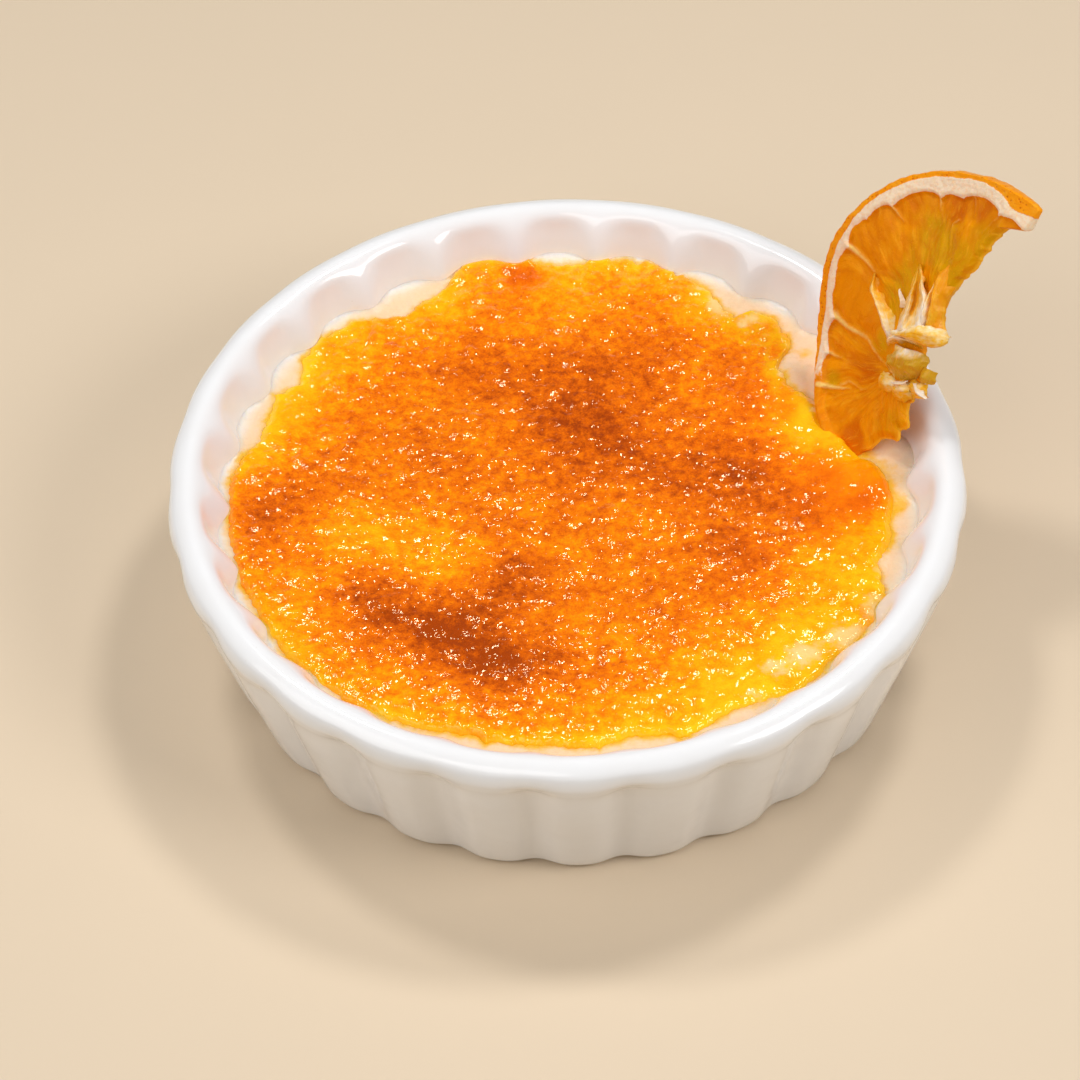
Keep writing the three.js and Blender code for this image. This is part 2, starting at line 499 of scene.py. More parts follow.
def makeCustard():
    angle = fullTurn(custard["steps"])
    rings = [ringAt(angle, radius, height) for radius, height in custard["underside"]]
    rings += [ringAt(angle, innerWall(angle, height) - 0.05, height) for height in custard["wallHeights"]]
    hidden = len(rings) * len(angle)
    top = custard["level"] + custard["meniscus"]
    raised = softSpots(54 * np.cos(angle), 54 * np.sin(angle), custard["mounds"])
    rim = innerWall(angle, top + raised) + custard["wallOverlap"]
    for inward in [*np.arange(0, 17, custard["ringStep"]), 20, 28, 40]:
        reach = np.maximum(rim - inward, 1.0)
        x, y = reach * np.cos(angle), reach * np.sin(angle)
        climb = custard["meniscus"] * np.exp(-inward / custard["meniscusWidth"])
        lumps = mixedNoise(x, y, custard["lumps"]) * min(inward / custard["meniscusWidth"], 1)
        mounds = softSpots(x, y, custard["mounds"])
        rings.append(ringAt(angle, reach, custard["level"] + climb + mounds + lumps))
    points = np.vstack(rings + [[[0, 0, custard["underside"][0][1]]], [[0, 0, custard["level"]]]])
    faces = ringFaces(len(rings), len(angle), len(points) - 2, len(points) - 1)
    piece = makePiece("bakedCustard", points, faces, bakedCustard())
    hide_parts("custard")
    x, y = points[:, 0], points[:, 1]
    gap = np.maximum(np.hypot(x, y) - crustReach(np.arctan2(y, x)), 0)
    syrupAndLight = np.exp(-gap / custard["syrupReach"]) * (0.75 + 0.6 * layeredNoise(x, y, 4.0, 60))
    # the spots include painted warm light where the slice shades the custard
    paint(piece, "syrupAndLight", syrupAndLight + softSpots(x, y, custard["syrupAndLight"]))
    nearWall = 0.9 * fadeIn(np.hypot(x, y) + 0.6 * layeredNoise(x, y, 3.0, 63), *custard["paleBetween"])
    nearWall *= 1 - 0.55 * towardSlice(x, y)
    nearWall[:hidden] = 1
    paint(piece, "nearWall", nearWall)


crust = {
    "cells": 296,  # quads across
    "sunk": 0.2,  # how far its edge starts below the custard's level
    "rise": 1.05,
    "edgeRound": 1.3,  # width of the rounded edge
    "dome": 0.35,  # the middle above the edge
    "wallClimb": 1.1,  # how far it climbs where it touches the dish at the back
    "thickness": 0.9,  # at its edge
    "tone": 0.585,  # 0 is yellow, 0.5 orange and 1 burnt
    "tones": [
        (0.0, (1.0, 0.60, 0.008)), (0.2, (1.0, 0.46, 0.002)), (0.4, (1.0, 0.305, 0.0)),
        (0.55, (0.98, 0.213, 0.0)), (0.7, (0.84, 0.148, 0.0)), (0.85, (0.63, 0.096, 0.0)),
        (1.0, (0.42, 0.054, 0.0)),
    ],
    "redColour": (0.88, 0.13, 0.0),
    "freckle": (0.26, 0.034, 0.0),
    "bareColour": (1.0, 0.70, 0.28),
    "shine": 0.58,
    "shineTint": (1.0, 0.93, 0.6),
    "ragged": [(0.55, 2.2, 11), (0.5, 0.95, 15, 2)],  # strength, size, seed and layers along the outline
    "calmSide": (5, 14),  # where the outline is smoother, and how wide, in degrees
    "rolling": [(0.26, 13, 1), (0.2, 4.5, 3)],  # the same over the top, broad and then fine
    "ripples": [(0.15, 1.3, 23, 2)],
    "bubbles": [  # height, spacing, smallest and largest reach, share of cells, and seed
        (0.30, 2.9, 0.9, 2.1, 0.75, 5), (0.17, 1.5, 0.45, 1.05, 0.7, 7), (0.09, 0.85, 0.3, 0.6, 0.65, 9),
        (-0.22, 3.4, 0.4, 0.9, 0.4, 21),
    ],
    "lobes": [  # x, y, width and height of the thick places by the slice
        (43.5, 9.5, 3.4, 0.9), (48.6, 2.6, 3.6, 0.9), (51, -1, 3, 0.3), (40, 17, 3, 0.4),
    ],
    "crease": [(48.6, 8.6), (46.4, 7.2), (44.6, 6.6)],  # x and y along a groove between them
    "creaseDepth": 0.55,
    "creaseWidth": 0.8,
    "edge": [  # the crust's outline in mm, seen from above
        (51.4, 0.8), (50.9, 3.6), (49.6, 6.2), (47.8, 7.6), (46.6, 8.2), (45.4, 10.2), (43.8, 12.6),
        (42.2, 15.2), (41.3, 18.2), (40.5, 20.8), (38, 22.6), (36.4, 24.6), (35.2, 27.8),
        (35.8, 30.5), (37.2, 32.6), (36.6, 35.5), (34.8, 39.6), (31, 41.2), (28.6, 39.8), (26.2, 42.4),
        (24.2, 45.6), (22, 48.4), (18.4, 50), (14.4, 52.8), (9, 53.6), (2.5, 53), (-3, 52.8), (-5.6, 54.2),
        (-10.5, 54.6), (-15, 53.8), (-18.4, 50.6), (-20.4, 47), (-23.6, 44.4), (-26, 41.2), (-32.6, 41),
        (-37.2, 38.6), (-40.6, 35), (-43, 30.4), (-43, 26), (-46.8, 24), (-47.4, 19.6), (-49.4, 14),
        (-52, 9.2), (-53.6, 4), (-53.6, -3), (-53, -8.5), (-51.6, -14), (-49.6, -20), (-46.6, -26.4),
        (-42.8, -32), (-38.2, -37.4), (-33, -41.4), (-26, -45.4), (-20.5, -46.9), (-14.8, -48.1),
        (-12.8, -49.5), (-5.6, -50.2), (-0.7, -50.8), (4.8, -50.9), (7.4, -49.4), (11.6, -48.4), (17.4, -49),
        (20.6, -47.6), (22.3, -46), (24, -44.4), (28.2, -42.8), (32.4, -41.6), (37.6, -38.4), (40.2, -35.2),
        (43, -31.8), (46.8, -27.4), (49.6, -22.6), (48.4, -18.6), (48.6, -14.8), (50.6, -11.4), (50.8, -7),
        (51.6, -3),
    ],
    "burns": [  # x, y, width in mm, and how much darker
        (3, 14, 10, 0.27), (9, 12, 5, 0.08), (-13, 27, 9, 0.15), (10, 28, 8, 0.13), (0, 22, 7, 0.08),
        (24, 4, 8, 0.22), (17, 5, 5, 0.1), (32, 0, 8, 0.14), (27, -14, 7, 0.15), (40, -2, 7, 0.07),
        (-12, -34, 6.5, 0.5), (-19, -28, 6, 0.39), (-28, -24, 6.5, 0.3), (-34, -18, 5, 0.1),
        (-10, -18, 6, 0.26), (-3, -36, 6, 0.16), (5, -35, 5, 0.08), (-49, -3, 8, 0.32), (-41, 4, 6, 0.1),
        (30, 22, 4.5, 0.18), (29, 12, 5, 0.06), (-22, 6, 8, 0.04), (-6.2, 49.6, 2.6, 0.42), (12, 37, 5, 0.06),
        (48, -1.5, 4, 0.13), (16, -20, 6, 0.05), (-50, -14, 5, 0.16),
    ],
    "thin": [  # the same for the paler, yellower places
        (-33, -8, 8, 0.23), (-21, -12, 7, 0.25), (-13, -11, 3, 0.10), (6, -29, 5, 0.14), (34, -31, 9, 0.30),
        (24, -38, 8, 0.25), (43, -21, 7, 0.18), (36, -16, 6, 0.08), (36, 24, 4.4, 0.2), (36, 13, 5, 0.2),
        (31, 38, 5, 0.16), (24, 43, 5, 0.2), (-43, 28, 7, 0.22), (-48, 20, 6, 0.14), (-22, 43, 6, 0.14),
        (2, 44, 8, 0.13), (-14, 44, 6, 0.08), (24, 19, 4, 0.07), (44, -12, 5, 0.1), (12, -45, 8, 0.14),
        (-48, 12, 5, 0.06), (41, 9, 4, 0.08), (-36, 36, 6, 0.08), (16, 45, 6, 0.04), (39, 17, 4, 0.12),
    ],
    "red": [  # the same for the redder places
        (-6.2, 49, 3, 1), (49.8, 0.6, 2, 1), (46.6, -3.4, 2.2, 0.7), (43, 2.5, 2.2, 0.2), (37, -3, 3, 0.4),
        (28, -14, 5, 0.35), (30, 22, 5, 0.3),
    ],
    "bare": [  # where the custard shows through
        (36, -33.5, 3, 1.1), (42.5, -29.5, 3.2, 1.1), (31.5, -36.5, 2, 0.9), (47, -24.5, 2.2, 0.9),
        (27.5, -42, 2, 0.7), (29.5, 37, 1.8, 0.8), (49, -16, 1.8, 0.7), (40.2, 19.5, 1.1, 1),
        (40.4, 16.4, 1.2, 0.9), (36.2, 26.5, 1.8, 0.9), (25.4, 41.2, 2.2, 1), (22.6, 45, 1.6, 0.7),
        (31.5, 38.5, 1.6, 0.8),
    ],
    "smooth": [  # and for the glassy ones
        (46, 3, 9, 1), (38, 18, 7, 0.7), (-47, 18, 5, 0.4), (42, -12, 6, 0.4),
    ],
}


def crustReach(angle):
    # how far the crust comes out from the middle at an angle
    outline = np.array(crust["edge"], float)
    at = np.degrees(np.arctan2(outline[:, 1], outline[:, 0])) % 360
    order = np.argsort(at)
    reach = np.hypot(outline[:, 0], outline[:, 1])[order]
    smooth = np.interp(np.degrees(angle) % 360, at[order], reach, period=360)
    x, y = 53 * np.cos(angle), 53 * np.sin(angle)
    middle, width = crust["calmSide"]
    calm = 1 - 0.7 * np.exp(-((np.degrees(angle) - middle) / width) ** 2)
    ragged = mixedNoise(x, y, crust["ragged"]) * calm
    return np.minimum(smooth + ragged, innerWall(angle, custard["level"] + 1.0) - 0.1)


def burntSugar():
    material, shader = newMaterial("burntSugar")
    fine = grain(1.4, detail=4.0, roughness=0.65)
    tiny = grain(0.36, detail=3.0, roughness=0.6)
    browning = painted("browning")
    lively = times(rescale(painted("smooth"), 0.0, 1.0, 1.0, 0.25), rescale(browning, 0.1, 0.5, 0.4, 1.0))
    speckle = plus(around(fine, 1.0), around(tiny, 0.42))
    tone = plus(browning, times(speckle, lively))
    colour = blendColour(times(painted("red"), 0.7), colourRamp(tone, crust["tones"]), crust["redColour"])
    freckles = rescale(grain(0.9, detail=4.0, roughness=0.65), 0.52, 0.74)
    burnt = times(rescale(tone, 0.4, 0.9, 0.0, 0.6), lively)
    colour = blendColour(times(freckles, burnt), colour, crust["freckle"])
    bare = rescale(frayed("bare", fine, 1.3), 0.3, 1.0, 0.0, 0.85)
    colour = blendColour(bare, colour, crust["bareColour"])
    bubbly = bumpFrom(times(grain(0.8, detail=1.0), lively), 0.10)
    relief = bumpFrom(grain(0.42, detail=0.0), 0.045, bubbly)
    connect(shader, colour, rescale(fine, 0.3, 0.7, 0.09, 0.14), relief)
    shine(shader, crust["shine"], crust["shineTint"])
    return material


def discGrid(count):
    # a square grid bent into a disc: share of the radius and angle of each point
    a, b = np.meshgrid(np.linspace(-1, 1, count + 1), np.linspace(-1, 1, count + 1), indexing="ij")
    wide = np.abs(a) > np.abs(b)
    safeA, safeB = np.where(a == 0, 1, a), np.where(b == 0, 1, b)
    radius = np.where(wide, a, b)
    angle = np.where(wide, math.pi / 4 * b / safeA, math.pi / 2 - math.pi / 4 * a / safeB)
    angle = np.where(radius < 0, angle + math.pi, angle)
    return np.abs(radius), angle


def crustRelief(x, y):
    calm = 1 - 0.45 * np.clip(softSpots(x, y, crust["smooth"]), 0, 1)
    bubbles = sum(height * beads(x, y, *kind) for height, *kind in crust["bubbles"])
    return mixedNoise(x, y, crust["rolling"]) + (bubbles + mixedNoise(x, y, crust["ripples"])) * calm


def makeCrust():
    count = crust["cells"]
    share, angle = discGrid(count)
    reach = crustReach(angle)
    bend = fadeIn(share, 0.55, 1.0)  # only the outer part takes the ragged outline
    radius = share * (50.0 * (1 - bend) + reach * bend)
    x, y = radius * np.cos(angle), radius * np.sin(angle)
    inward = np.maximum((1 - share) * reach, 0)
    calm = np.clip(softSpots(x, y, crust["smooth"]), 0, 1)
    edge = np.clip(inward / (crust["edgeRound"] * (1 + calm)), 0, 1)
    rounded = 1 - (1 - edge) ** 2.2
    wallGap = innerWall(angle, custard["level"] + 1.0) - reach
    nearWall = np.exp(-np.maximum(wallGap, 0) / 0.5)
    climb = crust["wallClimb"] * nearWall * np.exp(-inward / 1.6) * fadeIn(y, 10, 40)
    lobes = softSpots(x, y, crust["lobes"])
    away = lineDistance(x, y, crust["crease"])[0]
    crease = crust["creaseDepth"] * np.exp(-(away / crust["creaseWidth"]) ** 2)
    lift = crust["rise"] * rounded + crust["dome"] * (1 - share ** 2) + climb + (lobes - crease) * rounded
    z = custard["level"] - crust["sunk"] + lift + crustRelief(x, y) * fadeIn(inward, 0.0, 1.4)
    top = np.stack([x, y, z], -1).reshape(-1, 3)
    quads, rim = gridFaces(count + 1, count + 1)
    faces = quads.tolist()
    under = top[rim] * [0.985, 0.985, 1] - [0, 0, crust["thickness"]]
    start = len(top)
    points = np.vstack([top, under, [[0, 0, custard["level"] - 1.2]]])
    for i in range(len(rim)):
        j = (i + 1) % len(rim)
        faces.append([int(rim[j]), int(rim[i]), start + i, start + j])
        faces.append([start + j, start + i, len(points) - 1])
    piece = makePiece("sugarCrust", points, faces, burntSugar())
    paintCrust(piece, x, y, inward, len(points) - start)


def paintCrust(piece, x, y, inward, hidden):
    wx, wy = x + 1.6 * layeredNoise(x, y, 7, 31), y + 1.6 * layeredNoise(x, y, 7, 35)
    browning = crust["tone"] + softSpots(wx, wy, crust["burns"]) - softSpots(wx, wy, crust["thin"])
    browning += 0.10 * layeredNoise(x, y, 5.5, 51, 3) + 0.13 * layeredNoise(x, y, 2.2, 37, 3)
    browning -= 0.34 * np.exp(-inward / 6.0) * (1 + 0.5 * layeredNoise(x, y, 5, 71))
    browning -= 0.12 * np.exp(-inward / 1.2)
    smooth = np.clip(softSpots(x, y, crust["smooth"]), 0, 1)
    browning += smooth * (0.16 * layeredNoise(x, y, 3.2, 57, 2) - 0.3 * np.exp(-inward / 0.7))
    bx, by = wx + 1.5 * layeredNoise(x, y, 2.4, 61, 3), wy + 1.5 * layeredNoise(x, y, 2.4, 65, 3)
    patchyEdge = np.exp(-inward / 0.6) * fadeIn(layeredNoise(x, y, 4, 77), -0.1, 0.4)
    bare = softSpots(bx, by, crust["bare"]) + 0.4 * patchyEdge
    red = softSpots(x, y, crust["red"])
    for name, values in (("browning", browning), ("bare", bare), ("red", red), ("smooth", smooth)):
        paint(piece, name, np.append(np.clip(values, 0, 1.3).ravel(), np.full(hidden, 0.2)))


makeCustard()
print("custard made")
makeCrust()
print("sugar crust made")


orange = {
    "centre": (59.1, 12.4, 45.8),
    "facing": 33.7,  # degrees from +X to the way it leans
    "lean": 30.9,
    "outlinePoints": 560,
    "spine": (-15.5, 19.0, 8.0),  # a straight line inside the flesh: from and to up, and across
    "core": (-2.4, 4.6),  # the two spots, up and across, that the flesh fans out from
    "lowerCore": (-8.5, 4.0),
    "frontRings": 96,
    "backRings": 46,
    "rindHalf": 1.7,  # half the thickness
    "fleshHalf": 0.75,
    "plump": 0.32,  # how far the flesh swells between its membranes
    "strandDepth": 0.26,
    "threadDepth": 0.07,
    "ragged": [(0.42, 1.8, 91), (0.42, 0.7, 95, 2)],  # strength, size, seed and layers along the torn side
    "rind": [  # degrees from straight up and distance, from the tip down to the sunk end
        (-9, 28.2), (-4, 28), (3, 27.4), (14, 26.9), (26, 26.6), (38, 26.6), (50, 26.7), (62, 26.8),
        (74, 26.9), (86, 27), (97, 26.8), (108, 26.4), (119, 26.3), (130, 26.6), (141, 27),
        (151, 27.5), (159, 27.6), (166, 27.2), (172, 25.6),
    ],
    "cutSide": [  # up and across, from the sunk end back to the tip
        (-23.8, 3.2), (-22.2, 2.1), (-20, 1.1), (-18.8, -0.2), (-17.9, -1.6), (-16.4, -1.3), (-15, -2.3),
        (-13.6, -0.8), (-12.4, -0.4), (-11, -0.6), (-9.6, 0.3), (-7.4, -0.2), (-5.4, 0.4), (-3.8, 1.6),
        (-2.4, 2.8), (-0.6, 1.6), (1.2, 0.5), (2.6, 0.9), (4, 1.6), (5.6, 2.4), (7.4, 2.4), (9.4, 1.9),
        (12.5, 1), (15.7, 0.4), (19.7, -0.4), (21.8, -1.2), (23, -3), (24, -4.5), (26.4, -4.7),
    ],
    "lobes": [  # angle of each notch, pith there, and pith over the lobe after it
        (-9, 4.2, 4), (3, 4.8, 3.1), (23.4, 4.2, 3.8), (34.9, 4.7, 3), (58.5, 4.2, 2.8),
        (71.3, 3.4, 2.5), (85.4, 4.2, 3), (101, 3.4, 3), (116, 4.2, 2.5), (130, 3.3, 2), (142, 2.6, 1.3),
        (155, 1.4, 0.9), (172, 0.8, 0.6), (190, 0.6, 0.6),
    ],
    "peelBand": [  # angle and how far the peel's colour comes in over the rind's front
        (-9, 1.6), (-5, 2.4), (-1, 2.6), (2, 1.9), (6, 1.2), (14, 0.85), (30, 1), (60, 1.15),
        (90, 1.9), (112, 1.9), (126, 1.3), (138, 0.4), (165, 0),
    ],
    "membranes": [  # lines in up and across from the pith toward the core, width and strength
        ([(22.7, 1.2), (21, 1.9), (18.6, 2.6)], 0.26, 0.5),
        ([(22.4, 7.6), (21, 6.3), (19.6, 5.6)], 0.26, 0.5),
        ([(19.2, 13.6), (18, 12.9), (16.8, 12)], 0.40, 1),
        ([(16.8, 12), (15.5, 10.7), (12.7, 10.6), (9.9, 10.2), (7.8, 9.1)], 0.25, 0.35),
        ([(17.4, 8), (16.3, 8.6), (14.6, 7.9), (13, 6.6), (10.9, 5.9)], 0.25, 0.45),
        ([(13.6, 20.8), (12, 19.6), (11.5, 18), (11.2, 16.6)], 0.30, 0.9),
        ([(1.8, 24.6), (1.9, 21.6), (1.7, 19.6), (1.1, 16.9)], 0.55, 1),
        ([(1.1, 16.9), (2.6, 15), (2.9, 12.6)], 0.25, 0.35),
        ([(-9.4, 21.6), (-9.7, 19.3), (-9.6, 17.6), (-8.9, 15), (-8.3, 12.4), (-8.9, 9.8), (-9.3, 8.2),
          (-9.1, 6.6)], 0.50, 0.9),
        ([(-15.2, 19), (-14.9, 17.2), (-14.3, 15.6)], 0.34, 0.9),
        ([(-20, 16.4), (-19, 14.2), (-17.6, 11.9), (-16.8, 10.8)], 0.42, 1),
        ([(-17.4, 12.6), (-16, 11.6), (-15.6, 10.2), (-15.5, 8.5), (-14.1, 7.1), (-11.7, 5.6)], 0.34, 0.5),
        ([(-12, 5.3), (-14, 4.4), (-16.8, 2.9), (-19.8, 1.6)], 0.30, 0.35),
    ],
    "golden": [  # up, across, width and strength of the yellower flesh
        (12.9, 10.3, 4, 0.9), (9, 6, 4, 0.7), (15, 3, 4, 0.6), (4, 10.5, 4, 0.8), (10, 3.5, 3, 0.6),
        (-1, 10.5, 3.4, 0.6), (-6.8, 9, 2.6, 0.9), (-18.1, 14.7, 1.8, 1), (19, 1, 3, 0.6), (-16, 0, 3, 0.5),
    ],
    "deep": [  # the same for the redder flesh
        (14, 17, 3, 0.5), (19.2, 9.4, 2.8, 0.5), (21.4, 4.1, 2.2, 0.5), (7.1, 18.8, 2.4, 0.3),
        (-11.6, 8.9, 2.8, 0.8), (-13, 12, 3, 0.4), (-23, 5.5, 2.6, 0.9), (-5, 15, 2.6, 0.3), (-20, 7, 3, 0.3),
    ],
    "amberColour": (0.93, 0.315, 0.0),
    "deepColour": (0.73, 0.165, 0.0),
    "goldenColour": (0.72, 0.34, 0.0),
    "threadColour": (1.0, 0.46, 0.02),
    # painted glow: light shining through the thin torn edge
    "edgeGlowColour": (1.0, 0.50, 0.03),
    "membraneColour": (1.0, 0.66, 0.20),
    "pithColour": (1.0, 0.80, 0.59),
    "pithShade": (1.0, 0.60, 0.30),
    "pithDot": (0.70, 0.36, 0.16),
    "peelColour": (1.0, 0.34, 0.004),
    "peelPatch": (1.0, 0.43, 0.02),
    "peelPore": (0.80, 0.19, 0.0),
}


def sliceToDish(u, v, w):
    # from up, across and outward on the slice to the dish's own axes
    facing = math.radians(orange["facing"])
    lean = math.radians(orange["lean"])
    outward = np.array([math.cos(facing), math.sin(facing), 0])
    across = np.array([-math.sin(facing), math.cos(facing), 0])
    up = outward * math.sin(lean) + np.array([0, 0, math.cos(lean)])
    front = np.cross(up, across)
    place = np.multiply.outer
    return np.array(orange["centre"]) + place(u, up) + place(v, across) + place(w, front)


def orangeFlesh(strands, threads):
    golden = plus(frayed("golden", grain(4.0, detail=2.0), 0.7), around(strands, 0.8))
    flesh = blendColour(rescale(golden, 0.0, 0.9), orange["amberColour"], orange["goldenColour"])
    deep = rescale(frayed("deep", strands, 1.6), 0.2, 1.0)
    vesicles = cells(1.0, stretch=(15.0, 0.5, 1.0), vector=painted("fan", "Vector"))
    flecks = grain(0.3, detail=2.0)
    for amount, colour in (
        (deep, "deepColour"),
        (rescale(threads, 0.55, 0.72, 0.0, 0.55), "threadColour"),
        (rescale(threads, 0.30, 0.44, 0.35, 0.0), "deepColour"),
        (rescale(vesicles, 0.35, 0.9, 0.0, 0.38), "deepColour"),
        (rescale(flecks, 0.62, 0.72, 0.0, 0.5), "threadColour"),
        # painted glow of light through the thin torn edge
        (painted("glow"), "edgeGlowColour"),
    ):
        flesh = blendColour(amount, flesh, orange[colour])
    return flesh


def orangePith():
    fluff = rescale(grain(0.6, detail=4.0), 0.42, 0.72, 0.0, 0.6)
    pith = blendColour(fluff, orange["pithColour"], orange["pithShade"])
    dots = times(rescale(cells(0.62), 0.06, 0.16, 1.0, 0.0), rescale(grain(1.8), 0.48, 0.6))
    return blendColour(times(dots, 0.55), pith, orange["pithDot"])


def driedOrange():
    material, shader = newMaterial("driedOrange")
    fan = painted("fan", "Vector")
    strands = grain(1.0, detail=2.0, stretch=(6.0, 0.16, 1.0), vector=fan)
    threads = grain(1.0, detail=3.0, roughness=0.65, stretch=(26.0, 0.30, 1.0), vector=fan)
    flesh = orangeFlesh(strands, threads)
    lines = rescale(frayed("membrane", grain(0.6), 0.5), 0.2, 0.95)
    flesh = blendColour(lines, flesh, orange["membraneColour"])
    pithEdge = rescale(frayed("pith", grain(0.5), 0.8), 0.3, 0.7)
    colour = blendColour(pithEdge, flesh, orangePith())
    pores = rescale(cells(0.72), 0.05, 0.40)
    peel = blendColour(pores, orange["peelPore"], orange["peelColour"])
    peel = blendColour(rescale(grain(1.6), 0.45, 0.7, 0.0, 0.6), peel, orange["peelPatch"])
    peelEdge = rescale(frayed("peel", grain(0.4, detail=3.0), 1.0), 0.25, 0.75)
    colour = blendColour(peelEdge, colour, peel)
    relief = bumpFrom(grain(0.4, detail=3.0), 0.07, bumpFrom(threads, 0.08))
    relief = bumpFrom(times(pores, painted("peel")), 0.10, relief)
    connect(shader, colour, rescale(threads, 0.3, 0.7, 0.26, 0.46), relief)
    shine(shader, 0.2, (1.0, 0.75, 0.4))
    letLightIn(shader, 0.15, 0.6, (1.0, 0.6, 0.2))
    return material


def fanOut(u, v):
    # angle about the core and distance from it, for strands that fan out from there
    low = fadeIn(-u, 0, 9)
    cu, cv = (start * (1 - low) + end * low for start, end in zip(orange["core"], orange["lowerCore"]))
    sway = 0.10 * layeredNoise(u, v, 5.0, 121, 2)
    return np.stack([np.arctan2(u - cu, v - cv) + sway, np.hypot(u - cu, v - cv), np.zeros_like(u)], -1)


def pithWidth(angle, u, v):
    lobes = np.array(orange["lobes"])
    notch = np.clip(np.searchsorted(lobes[:, 0], angle) - 1, 0, len(lobes) - 2)
    t = np.clip((angle - lobes[notch, 0]) / (lobes[notch + 1, 0] - lobes[notch, 0]), 0, 1)
    ends = lobes[notch, 1] * (1 - t) + lobes[notch + 1, 1] * t
    arch = np.sin(math.pi * t) ** 0.45
    return ends + (lobes[notch, 2] - ends) * arch + 0.22 * layeredNoise(u, v, 1.6, 81)


def sliceLooks(u, v):
    # how far in from the rind each spot is, and how much of each tissue it shows
    angle = np.degrees(np.arctan2(v, u))
    angle = np.where(angle < -90, angle + 360, angle)
    line, band = np.array(orange["rind"]), np.array(orange["peelBand"])
    depth = np.interp(angle, line[:, 0], line[:, 1]) - np.hypot(u, v)
    width = pithWidth(angle, u, v)
    onRind = fadeIn(angle, -16, -10) * (1 - fadeIn(angle, 160, 172))
    peelWidth = np.interp(angle, band[:, 0], band[:, 1]) + 0.2 * layeredNoise(u, v, 1.2, 83)
    membrane, nearest = np.zeros_like(u), np.full_like(u, 9.0)
    for points, thick, strength in orange["membranes"]:
        away, along = lineDistance(u, v, points)
        wide = thick * (1.25 - 0.6 * along)
        membrane = np.maximum(membrane, strength * np.exp(-(away / wide) ** 2) * (1 - 0.6 * along))
        nearest = np.minimum(nearest, away / (0.4 + 0.6 * strength))
    return {
        "peel": (1 - fadeIn(depth - peelWidth, -0.2, 0.2)) * onRind,
        "pith": (1 - fadeIn(depth - width, -0.2, 0.2)) * onRind * (1 - fadeIn(angle, 126, 146)),
        "rind": (1 - fadeIn(depth - width, -0.6, 0.7)) * onRind,
        "deep": 0.5 * np.exp(-np.maximum(depth - width, 0) / 1.8) + softSpots(u, v, orange["deep"]),
        "golden": softSpots(u, v, orange["golden"]),
        "membrane": membrane,
        "nearest": nearest,
    }


def sliceOutline():
    rim = [(d * math.cos(math.radians(a)), d * math.sin(math.radians(a))) for a, d in orange["rind"]]
    closed = np.vstack([curveThrough(rim + orange["cutSide"], 10, closed=True), [rim[0]]])
    outline = evenly(closed, orange["outlinePoints"] + 1)[:-1]
    torn = fadeIn(3.4 - outline[:, 1], 0, 2.0) * fadeIn(24.0 - outline[:, 0], 0, 1.0)
    u, v = outline.T
    ragged = mixedNoise(u, v, orange["ragged"])
    warty = 0.15 * layeredNoise(u, v, 0.8, 97, 1)
    away = outline - spineSpot(outline)
    push = ragged * torn + warty * (1 - torn)
    return outline + away / np.linalg.norm(away, axis=1)[:, None] * push[:, None], torn


def spineSpot(outline):
    # where on the spine each point of the outline shrinks to
    first, last, across = orange["spine"]
    return np.stack([np.clip(outline[:, 0] * 0.8, first, last), np.full(len(outline), across)], -1)


def sliceThickness(u, v, share, torn, look, fan):
    strands = orange["strandDepth"] * layeredNoise(fan[:, 0] * 5.5, fan[:, 1] * 0.16, 1.0, 101, 3)
    threads = orange["threadDepth"] * layeredNoise(fan[:, 0] * 24, fan[:, 1] * 0.3, 1.0, 103, 2)
    shrivel = 0.12 * layeredNoise(u, v, 2.4, 107, 2)
    plump = orange["plump"] * fadeIn(look["nearest"], 0.3, 2.6)
    coreAway = np.hypot(u - orange["core"][0], v - orange["core"][1])
    lowAway = np.hypot(u - orange["lowerCore"][0], v - orange["lowerCore"][1])
    flesh = orange["fleshHalf"] + plump + strands + threads + shrivel + 0.45 * look["membrane"]
    flesh = flesh + 0.4 * np.exp(-(coreAway / 3.5) ** 2) + 0.3 * np.exp(-(lowAway / 3) ** 2)
    rind = orange["rindHalf"] + 0.09 * layeredNoise(u, v, 1.0, 105) - 0.2 * look["peel"]
    half = flesh * (1 - look["rind"]) + rind * look["rind"]
    half = np.maximum(half, 0.35) * (1 - 0.75 * torn * fadeIn(share, 0.8, 1.0))
    rounding = np.clip((share - 0.965) / 0.035, 0, 1)
    half = half * (0.42 + 0.58 * (1 - fadeIn(u, 20, 28) * (1 - fadeIn(v, -5, 5))))
    return half * (0.12 + 0.88 * np.sqrt(1 - rounding ** 2))


def sliceWarp(u, v):
    return 0.7 * np.sin(u * 0.16 + 0.6) * fadeIn(v, 0, 20) + 0.4 * np.sin(v * 0.3 + u * 0.1)


def zipShut(along):
    # triangles that close the narrow loop left along the spine
    a, b = 0, len(along) - 1
    closing = []
    while b - a > 1:
        if along[a + 1] >= along[b - 1]:
            closing.append((a, a + 1, b))
            a += 1
        else:
            closing.append((a, b - 1, b))
            b -= 1
    return closing


